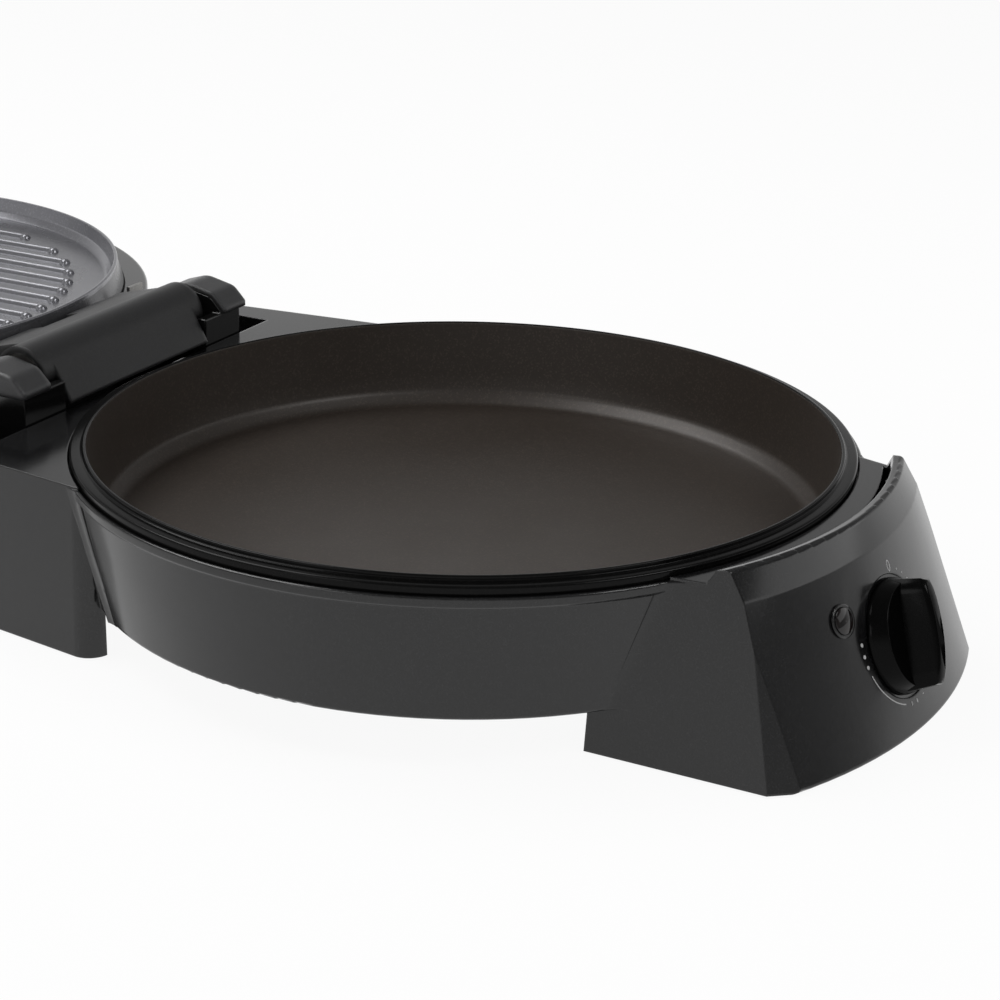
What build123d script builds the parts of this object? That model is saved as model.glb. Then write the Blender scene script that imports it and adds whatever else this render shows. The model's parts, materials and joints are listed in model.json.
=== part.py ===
from build123d import *
import math
import os

os.makedirs("parts", exist_ok=True)

# Multicooker: a low round tub with a deep pan, and a hinged lid with a grill plate.
# Millimetres, Z up, the table at Z = 0. The origin is on the table below the hinge axis.
# The hinge runs along X. The pan's axis is at -Y, the open lid's axis at +Y, and -Y is the front.
# Everything is drawn with the lid lying open by 180 degrees.

# Driving dimensions
pan_radius = 150.0
tub_height = 69.6
tub_bottom = 19.2
tub_margin = 9.0
tub_draft = 8.2
foot_reach = 46.5
front_turn = 4.8
hinge_margin = 19.0
hinge_rise = 14.2
flange_drop = 4.3
lip_rise = 5.4
plate_margin = 2.4
lid_margin = 11.1
closed_gap = 0.3
dome_bottom = 25.0
wall = 2.5
rest_gap = 0.8
pad_height = 1.2

# Sizes worked out from them
tub_radius = pan_radius + tub_margin
tub_foot_radius = tub_radius - tub_draft
block_reach = tub_radius + foot_reach
axis_offset = tub_radius + hinge_margin
hinge_height = tub_height + hinge_rise
lip_height = tub_height + lip_rise
plate_radius = pan_radius - plate_margin
plate_outer = plate_radius + 4.2
lid_radius = plate_outer + lid_margin

# Places worked out from them
pan_y = -axis_offset
lid_y = axis_offset
flange_z = hinge_height - flange_drop
plate_lip_z = 2 * hinge_height - lip_height - closed_gap

# Fits and clearances
slip = 0.15
running = 0.05
moving_gap = 0.7
touch = 0.1


def section(points):
    """A closed flat outline; a third value in a point is that corner's radius."""
    count = len(points)
    starts = []
    ends = []
    middles = []
    for index, point in enumerate(points):
        here = Vector(point[0], point[1])
        before = Vector(*points[index - 1][:2])
        after = Vector(*points[(index + 1) % count][:2])
        radius = point[2] if len(point) > 2 else 0.0
        if radius == 0.0:
            starts.append(here)
            ends.append(here)
            middles.append(None)
            continue
        back = (before - here).normalized()
        forth = (after - here).normalized()
        half = math.radians(back.get_angle(forth)) / 2
        setback = radius / math.tan(half)
        bisector = (back + forth).normalized()
        starts.append(here + back * setback)
        ends.append(here + forth * setback)
        middles.append(here + bisector * (radius / math.sin(half) - radius))
    edges = []
    for index in range(count):
        if middles[index] is not None:
            edges.append(ThreePointArc(starts[index], middles[index], ends[index]))
        following = starts[(index + 1) % count]
        if (following - ends[index]).length > 1e-6:
            edges.append(Line(ends[index], following))
    return make_face(Wire(edges))


def turned(points, centre_y):
    """A body turned about the upright axis at centre_y, from its radius and height outline."""
    return Pos(0, centre_y, 0) * revolve(Plane.XZ * section(points), Axis.Z)


def across(points, x_from, x_to):
    """A bar along X with a Y-Z outline."""
    profile = Plane.YZ.offset(x_from) * section(points)
    return extrude(profile, x_to - x_from, dir=(1, 0, 0))


def upright(points, z_from, z_to):
    """A prism along Z with an X-Y outline."""
    return extrude(Plane.XY.offset(z_from) * section(points), z_to - z_from)


def block(x, y, z):
    """A box from three (low, high) pairs."""
    sizes = [high - low for low, high in (x, y, z)]
    centre = [(low + high) / 2 for low, high in (x, y, z)]
    return Pos(*centre) * Box(*sizes)


def post(x, y, radius, z_from, z_to):
    """An upright round rod."""
    return Pos(x, y, (z_from + z_to) / 2) * Cylinder(radius, z_to - z_from)


def rod_x(y, z, radius, x_from, x_to):
    """A round rod along X."""
    return Pos((x_from + x_to) / 2, y, z) * Rot(0, 90, 0) * Cylinder(radius, x_to - x_from)


def mirrored(shape):
    return mirror(shape, about=Plane.YZ)


def both(shape):
    """The shape and its mirror image across X = 0."""
    return [shape, mirrored(shape)]


def joined(shapes):
    """Several shapes fused into one."""
    whole = shapes[0]
    for shape in shapes[1:]:
        whole = whole + shape
    return whole


def to_front(shape):
    """Turn a shape drawn straight ahead of the pan to the front block's own direction."""
    return Pos(0, pan_y, 0) * Rot(0, 0, -front_turn) * Pos(0, -pan_y, 0) * shape


def front_point(x, y):
    """A place of the front block in X and Y, from its own x and its y from the pan's axis."""
    turn = math.radians(-front_turn)
    return (x * math.cos(turn) - y * math.sin(turn), pan_y + x * math.sin(turn) + y * math.cos(turn))


def save(shapes, node):
    """Write one node from one solid, or from a list of equal pieces."""
    pieces = shapes if isinstance(shapes, list) else [shapes]
    solids = []
    for piece in pieces:
        solids.extend(piece.solids())
    shape = solids[0] if len(solids) == 1 else Compound(children=solids)
    export_step(shape, f"parts/{node}.step")


# Housing: the tub, the front block with its sloping panel, and the rear block under the hinge

tub_band_height = 3.9
tub_band_step = 0.6
ledge_z = tub_height - 2.1
ledge_inner = pan_radius + 2.8
ledge_thickness = 2.2
mouth_radius = pan_radius + 7.2
panel_top_radius = tub_radius + 21.0
panel_top_z = tub_height - 3.6
panel_foot_z = 2.0
ridge_radius = tub_radius + 13.0
ridge_z = tub_height + 7.0
deck_z = tub_height + 1.0
side_blend = 14.0
panel_slope = (block_reach - panel_top_radius) / (panel_top_z - panel_foot_z)
panel_tilt = math.degrees(math.atan(panel_slope))

# Half outlines of the two blocks, from the pan's axis, at the table and at the head's height
front_half = 89.1
front_lean = 9.0
front_near = tub_radius - 46.8
front_head_z = tub_height + 8.4
front_side_foot = [
    (front_half + 0.7, -front_near + 8.0),
    (front_half, -front_near),
    (front_half - 6.3, -block_reach + 22.1),
    (front_half - 33.9, -block_reach - 7.1),
]
front_side_head = [
    (front_half - front_lean + 0.7, -front_near + 8.0),
    (front_half - front_lean, -front_near),
    (front_half - front_lean - 10.1, -panel_top_radius + 16.3),
    (front_half - front_lean - 38.0, -panel_top_radius - 10.4),
]
back_y = 12.0
rear_half = 125.8
rear_lean = 2.6
rear_taper = 13.3
rear_near = math.sqrt((tub_radius - 2.56) ** 2 - rear_half**2)
rear_far = axis_offset + back_y
rear_side_foot = [(rear_half, rear_near), (rear_half - rear_taper, rear_far)]
rear_side_head = [(rear_half - rear_lean, rear_near), (rear_half - rear_taper - 1.1, rear_far)]
rear_foot_corner = 9.0
rear_foot_hollow = tub_radius - 9.5


def panel_radius(z):
    """The sloping panel's distance from the pan axis at height z."""
    return block_reach - (z - panel_foot_z) * panel_slope


def tub_solid(inset, floor_z):
    return turned(
        [
            (0, floor_z),
            (tub_foot_radius - inset, floor_z, 2.0),
            (tub_radius - tub_band_step - inset, tub_height - inset),
            (0, tub_height - inset),
        ],
        pan_y,
    )


def side_prism(foot, head, head_z, inset):
    """A block with leaning sides, from half outlines at the table and at head_z."""
    def outline(half, z):
        left = [(-x + inset, y + pan_y) for x, y in half]
        right = [(x - inset, y + pan_y) for x, y in reversed(half)]
        return Plane.XY.offset(z) * section(left + right)
    return loft([outline(foot, -1.0), outline(head, head_z)], ruled=True)


def front_solid(inset, floor_z):
    """The front block: a turned profile cut to width by the leaning sides."""
    slant = inset / math.cos(math.radians(panel_tilt))
    profile = turned(
        [
            (tub_foot_radius - 60, floor_z),
            (panel_radius(floor_z) - slant, floor_z, 1.2),
            (panel_top_radius - slant, panel_top_z - inset * 0.4, 3.5),
            (ridge_radius + 1.5 - inset, ridge_z - inset, 1.8),
            (ridge_radius - 2.0 - inset, ridge_z - 0.8 - inset),
            (ridge_radius - 4.0 - inset, deck_z - inset),
            (tub_radius - 4.0, deck_z - inset),
            (tub_radius - 4.0, 40.0),
            (tub_foot_radius - 60, 40.0),
        ],
        pan_y,
    )
    foot = [(x, y + inset if index < 2 else y) for index, (x, y) in enumerate(front_side_foot)]
    head = [(x, y + inset if index < 2 else y) for index, (x, y) in enumerate(front_side_head)]
    rear = foot_rear_cut(inset, floor_z)
    return to_front((profile & side_prism(foot, head, front_head_z, inset)) - rear)


def foot_rear_cut(inset, floor_z):
    """Frees the space under the tub behind the front foot."""
    face_y = pan_y - front_near - inset
    return block((-150, 150), (face_y, face_y + 60), (floor_z - 5, tub_bottom + inset))


def rear_solid(inset, floor_z):
    """The rear block: leaning sides that close in toward the back."""
    front = pan_y + rear_near + inset
    back = back_y - inset
    corner = max(rear_foot_corner - inset, 1.0)
    back_corner = max(6.0 - inset, 1.0)

    def outline(z):
        share = z / deck_z
        near, far = [
            foot[0] + (head[0] - foot[0]) * share - inset
            for foot, head in zip(rear_side_foot, rear_side_head)
        ]
        points = [
            (-near, front, corner),
            (near, front, corner),
            (far, back, back_corner),
            (-far, back, back_corner),
        ]
        return Plane.XY.offset(z) * section(points)

    whole = loft([outline(-10), outline(deck_z - inset)], ruled=True)
    whole = whole - post(0, pan_y, rear_foot_hollow + inset, -20, tub_bottom + inset)
    return whole - block((-200, 200), (-300, 100), (-20, floor_z))


def envelope(inset, foot_z, tub_z):
    """The housing's whole outer form, drawn in by inset."""
    return tub_solid(inset, tub_z) + front_solid(inset, foot_z) + rear_solid(inset, foot_z)


def cove(half_foot, half_head, outward, floor_z, top_z):
    """The hollow blend where a leaning side meets the tub wall, on the +X side."""
    sections = []
    for z in (floor_z, (floor_z + top_z) / 2, top_z):
        share = z / front_head_z
        near, far = [
            Vector(foot[0] + (head[0] - foot[0]) * share, foot[1] + (head[1] - foot[1]) * share)
            for foot, head in zip(half_foot, half_head)
        ]
        along = (far - near).normalized()
        normal = Vector(along.Y, -along.X) * outward
        tub_r = tub_foot_radius + (tub_radius - tub_foot_radius) * (z - tub_bottom) / (tub_height - tub_bottom)
        tub_r -= slip
        start = near + normal * (side_blend - slip)
        reach = tub_r + side_blend
        b = start.dot(along)
        c = start.dot(start) - reach * reach
        root = math.sqrt(b * b - c)
        travel = min(-b + root, -b - root, key=abs)
        centre = start + along * travel
        on_side = centre - normal * side_blend
        on_tub = centre * (tub_r / reach)
        toward_side = (on_side - centre).normalized()
        toward_tub = (on_tub - centre).normalized()
        middle = centre + (toward_side + toward_tub).normalized() * side_blend
        inside = Vector(on_side.X * 0.9, on_side.Y * 0.9 + on_tub.Y * 0.02)
        edges = [ThreePointArc(on_side, middle, on_tub), Line(on_tub, inside), Line(inside, on_side)]
        sections.append(Pos(0, pan_y, z) * make_face(Wire(edges)))
    return loft(sections, ruled=False)


# Hinge sizes that the housing needs

slot_half = 99.0
slot_front = -18.7
slot_back = 8.0
well_floor = deck_z - 14.6
well_wall = 2.0
cover_half = 56.5
cover_gate_z = well_floor + 2.0
post_inner = 50.5
post_outer = 77.0
post_front = -18.0
post_back = 6.0
post_foot_z = 30.0
guide_gap = 0.45
pin_radius = 4.0

# Knob and lamp places on the panel

knob_z = 34.6
lamp_z = 49.5
lamp_x = -47.0
knob_seat_radius = 23.2
knob_seat_depth = 1.0
shaft_radius = 3.0
lamp_tube_radius = 5.6
lamp_ring_radius = 6.25
lens_radius = 4.9


def panel_plane(x, z):
    """A plane on the sloping panel at x and z: its Z axis points out, its Y axis up the slope."""
    reach = panel_radius(z)
    turn = math.asin(x / reach)
    tilt = math.radians(panel_tilt)
    outward = Vector(math.sin(turn) * math.cos(tilt), -math.cos(turn) * math.cos(tilt), math.sin(tilt))
    sideways = Vector(math.cos(turn), math.sin(turn), 0)
    origin = Vector(x, pan_y - reach * math.cos(turn), z)
    return Plane(origin=origin, x_dir=sideways, z_dir=outward)


knob_plane = panel_plane(-panel_radius(knob_z) * math.sin(math.radians(front_turn)), knob_z)
lamp_plane = panel_plane(lamp_x, lamp_z)


def disc_on(plane, radius, low, high, x=0.0, y=0.0):
    """A round rod along a panel plane's normal."""
    return plane * (Pos(x, y, (low + high) / 2) * Cylinder(radius, high - low))


def box_on(plane, width, height, low, high):
    """A box centred on a panel plane's normal."""
    return plane * (Pos(0, 0, (low + high) / 2) * Box(width, height, high - low))


# Base screws stand in round bosses of the housing
front_screw_y = -block_reach + 45.5
rear_screws = [(95.0, back_y - 55.0), (104.5, back_y - 10.5)]
base_screw_places = [front_point(x, front_screw_y) for x in (-62.0, 62.0)]
base_screw_places += [(side * x, y) for x, y in rear_screws for side in (-1, 1)]
base_boss_radius = 4.0
base_screw_radius = 1.5
base_screw_top = 14.0
cover_floor = 2.2
tray_top = 26.0
gland_x = 86.0
gland_z = 38.0
gland_body_radius = 5.5
bracket_z = -4.4
bracket_boss_x = 18.0


def base_housing():
    """One moulding: tub wall, rim, decks, feet, panel, well for the hinge, and screw bosses."""
    body = envelope(0, rest_gap, tub_bottom)
    front_cove = cove(front_side_foot[1:3], front_side_head[1:3], -1, tub_bottom + 0.6, tub_height)
    rear_cove = cove(rear_side_foot, rear_side_head, 1, tub_bottom + 0.6, tub_height)
    for piece in [to_front(side) for side in both(front_cove)] + both(rear_cove):
        body = body + piece
    hollow = tub_solid(wall, tub_bottom - touch)
    hollow = hollow + front_solid(wall, -5) + rear_solid(wall, -5)
    shell = body - hollow
    shell = shell - post(0, pan_y, ledge_inner, ledge_z - 5, 90)
    shell = shell - post(0, pan_y, mouth_radius, ledge_z, 90)
    rim = turned(
        [
            (ledge_inner, ledge_z - ledge_thickness),
            (tub_radius - 0.8, ledge_z - ledge_thickness),
            (tub_radius, tub_height - tub_band_height + 0.6),
            (tub_radius, tub_height, 0.9),
            (mouth_radius, tub_height),
            (mouth_radius, ledge_z),
            (ledge_inner, ledge_z),
        ],
        pan_y,
    )
    shell = shell + rim
    well = block(
        (-slot_half - well_wall, slot_half + well_wall),
        (slot_front - well_wall, back_y - 1),
        (well_floor - well_wall, deck_z - 1),
    )
    well = well - post(0, pan_y, tub_radius - 1, 0, 90)
    shell = shell + well
    shell = shell - block((-slot_half, slot_half), (slot_front, slot_back), (well_floor, 90))
    gate = cover_half + 1
    shell = shell - block((-gate, gate), (slot_back - 1, back_y + 10), (cover_gate_z, 90))
    for hole in both(
        block(
            (post_inner - guide_gap, post_outer + guide_gap),
            (post_front - guide_gap, post_back + guide_gap),
            (well_floor - 5, well_floor + 5),
        )
    ):
        shell = shell - hole
    floor_top = pad_height + cover_floor
    for x, y in base_screw_places:
        shell = shell + post(x, y, base_boss_radius, floor_top, deck_z - 1.5)
        shell = shell - post(x, y, base_screw_radius, 0, base_screw_top)
    bosses = [disc_on(knob_plane, 3.5, bracket_z, -0.6, x) for x in (-bracket_boss_x, bracket_boss_x)]
    for boss in bosses:
        shell = shell + boss
    shell = shell - disc_on(knob_plane, knob_seat_radius, -knob_seat_depth, 6)
    shell = shell - disc_on(knob_plane, 5.2, -4, 2)
    for x in (-bracket_boss_x, bracket_boss_x):
        shell = shell - disc_on(knob_plane, 1.2, bracket_z - 1, -1.9, x)
    shell = shell - disc_on(lamp_plane, lamp_tube_radius + running, -10, 4)
    shell = shell - Pos(gland_x, back_y, gland_z) * Rot(90, 0, 0) * Cylinder(gland_body_radius, 12)
    return shell


def base_cover():
    """The bottom tray: a disc under the tub that steps down into both feet."""
    outer_inset = wall + slip
    inner_inset = outer_inset + cover_floor
    outer = tub_solid(outer_inset, tub_bottom) + front_solid(outer_inset, pad_height)
    outer = outer + rear_solid(outer_inset, pad_height)
    floor_top = pad_height + cover_floor
    inner = tub_solid(inner_inset, tub_bottom + cover_floor) + front_solid(inner_inset, floor_top)
    inner = inner + rear_solid(inner_inset, floor_top)
    tray = (outer - inner) - block((-300, 300), (-500, 300), (tray_top, 200))
    window = block((-30, 30), (pan_y - block_reach - 15, pan_y - tub_foot_radius + 30.8), (12, 60))
    tray = tray - to_front(window)
    for x, y in base_screw_places:
        tray = tray - post(x, y, base_boss_radius + slip, floor_top, 60)
        tray = tray - post(x, y, base_screw_radius + slip, 0, floor_top + 1)
    for x, y in reflector_places(pan_y):
        tray = tray + post(x, y, 5.0, tub_bottom + 1, base_reflector_z)
        tray = tray - post(x, y, 1.5, tub_bottom + 0.8, 60)
    return tray


def base_screws():
    """Six low-headed screws from below."""
    screws = []
    for x, y in base_screw_places:
        head = post(x, y, 3.4, 0.3, pad_height)
        screws.append(head + post(x, y, base_screw_radius, pad_height - 0.2, base_screw_top - 0.5))
    return screws


foot_margin = 15.1
rear_foot_margin = 19.8


def base_feet():
    """Four round rubber pads under the tray."""
    front = front_half - foot_margin
    rear = rear_half - rear_foot_margin
    places = [front_point(x, -block_reach + 65.5) for x in (-front, front)]
    places += [(x, back_y - 67.0) for x in (-rear, rear)]
    return [post(x, y, 7.0, 0, pad_height) for x, y in places]


# Cooking parts of the base

pan_floor_z = 38.0
pan_floor_thickness = 3.0
pan_lip = 1.6
element_ring_radius = pan_radius - 55.0
element_radius = 3.3
base_reflector_z = 25.2
sheet = 0.8
saddle_angles = (-30.0, 90.0 + 120.0, 90.0 + 60.0, 30.0)
tail_x = 12.0
reflector_screw_ring = 70.0
element_z = pan_floor_z - pan_floor_thickness - element_radius - touch


def reflector_places(centre_y):
    """Three screw places on a ring."""
    places = []
    for angle in (90.0, 210.0, 330.0):
        turn = math.radians(angle)
        x = reflector_screw_ring * math.cos(turn)
        places.append((x, centre_y + reflector_screw_ring * math.sin(turn)))
    return places


def cooking_pan():
    """The deep round pan with its upright lip and the flange that hangs in the tub."""
    under = pan_floor_z - pan_floor_thickness
    pan_outer = pan_radius + pan_lip
    pan_flange = mouth_radius - 0.6
    return turned(
        [
            (0, under),
            (pan_radius - 6.8, under, 6.0),
            (pan_radius - 1.8, pan_floor_z + 4.0, 3.0),
            (pan_outer, lip_height - 4.2),
            (pan_radius + 4.9, lip_height - 4.2, 0.4),
            (pan_radius + 4.9, ledge_z + touch),
            (pan_flange, ledge_z + touch),
            (pan_flange, lip_height - 2.0, 1.0),
            (pan_outer + 0.8, lip_height - 2.0),
            (pan_outer, lip_height - 1.4),
            (pan_outer, lip_height, 0.5),
            (pan_radius, lip_height, 0.5),
            (pan_radius - 2.0, pan_floor_z + 13.0),
            (pan_radius - 3.6, pan_floor_z + 4.0, 4.0),
            (pan_radius - 8.5, pan_floor_z, 4.0),
            (0, pan_floor_z),
        ],
        pan_y,
    )


def dish(z, rim_z, centre_y, flat_radius, rim_radius):
    """A thin round reflector with a sloping rim."""
    return turned(
        [
            (0, z),
            (flat_radius, z),
            (rim_radius, rim_z),
            (rim_radius - sheet, rim_z),
            (flat_radius - sheet * 0.6, z + sheet),
            (0, z + sheet),
        ],
        centre_y,
    )


def base_reflector():
    plate = dish(base_reflector_z, base_reflector_z + 8.2, pan_y, tub_foot_radius - 19.8, tub_foot_radius - 10.8)
    tails = (pan_y + element_ring_radius + 5, pan_y + tub_radius)
    sensor = (pan_y - tub_radius, pan_y - element_ring_radius - 15)
    plate = plate - block((-16, 16), tails, (base_reflector_z + 1.5, 40))
    plate = plate - to_front(block((-3, 3), sensor, (base_reflector_z + sheet, 40)))
    for x, y in reflector_places(pan_y):
        plate = plate - post(x, y, 1.6, 20, 30)
    return plate


def element(z, centre_y, toward, tail_end):
    """A round tube bent to an open ring, with two straight tails."""
    ring = element_ring_radius
    start_y = math.sqrt(ring * ring - tail_x * tail_x)
    left = Vector(-tail_x, start_y * toward, 0)
    right = Vector(tail_x, start_y * toward, 0)
    far = Vector(0, -ring * toward, 0)
    profile = Plane(origin=left, z_dir=Vector(-left.Y, left.X, 0)) * Circle(element_radius)
    hoop = sweep(profile, ThreePointArc(left, far, right))
    tails = []
    for x in (-tail_x, tail_x):
        tail = Cylinder(element_radius, tail_end - start_y + 2)
        middle = (tail_end + start_y - 2) / 2 * toward
        tails.append(Pos(x, middle, 0) * Rot(90, 0, 0) * tail)
    return Pos(0, centre_y, z) * joined([hoop] + tails)


def saddles(centre_y, low, z):
    """Blocks with a round groove that hold the element on its reflector."""
    pieces = []
    ring = Torus(element_ring_radius, element_radius + running)
    for angle in saddle_angles:
        blank = Rot(0, 0, angle) * Pos(element_ring_radius, 0, (low + z - 0.6) / 2)
        piece = blank * Box(13, 9, z - 0.6 - low)
        piece = Pos(0, centre_y, 0) * piece - Pos(0, centre_y, z) * ring
        pieces.append(piece)
    return pieces


def small_screws(places, head_low, head_high, tip):
    """Round-headed screws along Z; the tip is on either side of the head."""
    screws = []
    for x, y in places:
        head = post(x, y, 3.0, head_low, head_high)
        stem = post(x, y, 1.5, min(tip, head_low), max(tip, head_high))
        screws.append(head + stem)
    return screws


terminal_back = slot_front - well_wall - 1.3
foot_shelf_z = tub_bottom + wall + slip + cover_floor


def lower_terminal():
    """The ceramic block below the element's tails."""
    top = element_z - element_radius - touch
    body = block((-22, 22), (terminal_back - 14.5, terminal_back), (foot_shelf_z, top))
    for x in (-tail_x, tail_x):
        body = body - block((x - 2.5, x + 2.5), (terminal_back - 20, terminal_back + 2), (top - 3, top - 1.2))
    return body


# Thermostat, knob and lamp

def thermostat_body():
    case = box_on(knob_plane, 30, 26, -23, bracket_z - 1.2)
    neck = disc_on(knob_plane, 5.0, bracket_z - 1.4, -1.8)
    bore = disc_on(knob_plane, shaft_radius + running, -20, 4)
    return case + neck - bore


def thermostat_bracket():
    plate = box_on(knob_plane, 46, 18, bracket_z - 1.2, bracket_z)
    plate = plate - disc_on(knob_plane, 5.0 + running, -8, 0)
    for x in (-bracket_boss_x, bracket_boss_x):
        plate = plate - disc_on(knob_plane, 1.3, -8, 0, x)
    case = box_on(knob_plane, 30, 26, -23, bracket_z - 1.2)
    return plate - case


def bracket_screws():
    screws = []
    for x in (-bracket_boss_x, bracket_boss_x):
        head = disc_on(knob_plane, 2.4, bracket_z - 2.8, bracket_z - 1.2, x)
        screws.append(head + disc_on(knob_plane, 1.2, bracket_z - 1.4, -2.2, x))
    return screws


def thermostat_sensor():
    """A bulb under the pan and the thin tube that leads back to the thermostat."""
    bulb_z = pan_floor_z - pan_floor_thickness - 3.6
    bulb = Pos(0, pan_y - 30, bulb_z) * Rot(90, 0, 0) * Cylinder(3.5, 34)
    straight = panel_plane(0, knob_z)
    back = straight.origin - straight.z_dir * 23.05
    low = base_reflector_z + sheet + 1.2
    points = [
        Vector(0, pan_y - 46, bulb_z),
        Vector(0, pan_y - 60, bulb_z),
        Vector(0, pan_y - 72, low),
        Vector(0, pan_y - tub_foot_radius + 10.8, low),
        Vector(0, pan_y - tub_foot_radius - 4.2, 18.0),
        Vector(0, back.Y + 6, back.Z - 2.4),
        back,
    ]
    path = FilletPolyline(*points, radius=2.5)
    tube = sweep(Plane(origin=points[0], z_dir=(0, -1, 0)) * Circle(0.8), path)
    return to_front(bulb + tube)


knob_radius = 22.0
knob_gap = 0.4
knob_flange_height = 4.8
drum_radius = 19.4
drum_rise = 2.6
shaft_tip = 12.0
grip_foot_width = 13.0
grip_top_width = 6.4
grip_reach = 20.8
grip_top = 21.5


def control_knob():
    """A round flange, a lower drum and an upright grip bar."""
    low = knob_gap - knob_seat_depth
    flange_top = low + knob_flange_height
    drum_top = flange_top + drum_rise
    flange = post(0, 0, knob_radius, low, flange_top)
    flange = fillet(flange.edges().group_by(Axis.Z)[-1], 1.6)
    drum = post(0, 0, drum_radius, low, drum_top)
    drum = fillet(drum.edges().group_by(Axis.Z)[-1], 1.2)
    outline = [
        (-grip_foot_width / 2, low + 1),
        (grip_foot_width / 2, low + 1),
        (grip_top_width / 2, grip_top, 1.8),
        (-grip_top_width / 2, grip_top, 1.8),
    ]
    grip = extrude(Plane.XZ * section(outline), knob_radius, both=True)
    ends = post(0, 0, grip_reach, low, grip_top)
    grip = grip & fillet(ends.edges().group_by(Axis.Z)[-1], 3.0)
    knob = flange + drum + grip
    knob = knob - (post(0, 0, knob_radius - 3, low - 1, low + 2.8) - post(0, 0, 7.0, low - 2, low + 3))
    knob = knob - post(0, 0, shaft_radius, -2, shaft_tip)
    return knob_plane * knob


def knob_shaft():
    return disc_on(knob_plane, shaft_radius, -19.5, shaft_tip)


def lamp_holder():
    """A tube through the panel with a thin ring around the lens."""
    tube = disc_on(lamp_plane, lamp_tube_radius, -16, 0.9)
    ring = disc_on(lamp_plane, lamp_ring_radius, 0.05, 0.9)
    return tube + ring - disc_on(lamp_plane, lens_radius + running, -14, 3)


def lamp_lens():
    ball = lamp_plane * (Pos(0, 0, -12.4) * Sphere(14.5))
    return disc_on(lamp_plane, lens_radius, -2.5, 4) & ball


def lamp_bulb():
    return disc_on(lamp_plane, 3.0, -14, -3.5)


def inlet_gland():
    """The rubber bush in the back wall where the supply enters."""
    profile = [
        (3.6, back_y - wall - 2.2),
        (7.6, back_y - wall - 2.2, 0.6),
        (7.6, back_y - wall),
        (gland_body_radius, back_y - wall),
        (gland_body_radius, back_y),
        (8.2, back_y),
        (8.2, back_y + 2.4, 0.9),
        (3.6, back_y + 2.4),
    ]
    ring = revolve(Plane.XZ * section(profile), Axis.Z)
    return Pos(gland_x, 0, gland_z) * Rot(-90, 0, 0) * ring


# The floating hinge: two posts in the well, tied by a bar, with caps over their heads

post_gap = 62.5
cap_outer = 80.2
sweep_clear = 13.3
bar_low = 24.0


def post_head(gap):
    """The Y-Z outline of a post's rounded head; gap grows it to the cap's inside."""
    return [
        (post_front - gap, hinge_height - 14.0),
        (post_front - gap, hinge_height),
        (-12.8 - gap * 0.7, hinge_height + 5.6 + gap * 0.7, 5.5),
        (0, hinge_height + 8.0 + gap, 9.0),
        (10.4 + gap * 0.5, hinge_height + 4.6 + gap * 0.7, 5.0),
        (12.4 + gap, hinge_height - 3.0),
        (post_back, hinge_height - 11.5),
        (post_back, hinge_height - 14.0),
    ]


def hinge_post():
    """The right-hand post: a guided leg, a head that holds the pin, and a low front wing."""
    leg = block((post_inner, post_outer), (post_front, post_back), (post_foot_z, hinge_height - 13.5))
    wing = block((post_inner, post_gap + 1), (post_front, -6), (hinge_height - 14, hinge_height - 1))
    head = across(post_head(0), post_gap, post_outer)
    body = leg + wing + head
    body = body - rod_x(0, hinge_height, sweep_clear, 30, post_gap)
    body = body - rod_x(0, hinge_height, pin_radius, 30, post_outer - 1)
    for y in (-10.0, -2.0):
        body = body - post(63.75, y, 1.5, 20, post_foot_z + 12)
    return body


def hinge_cap():
    """The matt hood that closes a post's head from above."""
    outline = [
        (-20.2, hinge_height - 0.8),
        (-20.2, hinge_height + 1.6, 1.5),
        (-14.2, hinge_height + 7.7, 7.0),
        (0, hinge_height + 10.6, 11.0),
        (12.4, hinge_height + 6.6, 6.0),
        (15.0, hinge_height - 0.8),
    ]
    shell = across(outline, post_gap, cap_outer)
    end_edges = shell.faces().sort_by(Axis.X)[-1].edges().filter_by(lambda edge: edge.center().Z > hinge_height)
    shell = fillet(end_edges, 1.8)
    return shell - across(post_head(slip), post_gap - 1, post_outer + slip)


def hinge_pin():
    return rod_x(0, hinge_height, pin_radius, 44.0, post_outer - 1)


def hinge_bar():
    bar = block((-post_outer, post_outer), (-13, 1), (bar_low, post_foot_z))
    for side in (-63.75, 63.75):
        for y in (-10.0, -2.0):
            bar = bar - post(side, y, 1.6, 20, 40)
    return bar


def bar_screws():
    places = []
    for side in (-63.75, 63.75):
        for y in (-10.0, -2.0):
            places.append((side, y))
    return small_screws(places, bar_low - 1.8, bar_low, post_foot_z + 11)


# The lid, drawn lying open

flange_thickness = 2.4
plate_opening = plate_outer + 0.5
plate_floor_z = flange_z + 3.5
plate_floor_thickness = 3.0
lid_ledge_z = flange_z - 2.1
arm_inner = 42.0
arm_outer = 55.5
arm_radius = 9.3
arm_top = flange_z - 4.7
arm_bottom = flange_z - 12.5
arm_screw_x = 48.75
arm_inset = 13.43438
arm_end = lid_y - math.sqrt(lid_radius**2 - arm_screw_x**2) + arm_inset
arm_screw_y = arm_end - 5.0
cover_radius = 12.4
cover_thickness = 3.0
skirt_half = 49.0
lid_reflector_z = flange_z - 17.0
upper_element_z = plate_floor_z - plate_floor_thickness - element_radius - touch
upper_tail_end = plate_radius - 21.6


def dome(inset, radius_inset):
    """The lid's outer form, drawn in by inset."""
    return turned(
        [
            (0, dome_bottom + inset),
            (lid_radius - 52.6 - inset * 0.3, dome_bottom + 2.6 + inset, 90 - inset),
            (lid_radius - 8.6 - inset * 0.9, dome_bottom + 23.0 + inset * 0.75, 40 - inset),
            (lid_radius - radius_inset, flange_z - 7.0, 12 - inset),
            (lid_radius - radius_inset, flange_z - (inset if inset else 0), 0.01 if inset else 1.4),
            (0, flange_z - (inset if inset else 0)),
        ],
        lid_y,
    )


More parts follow.
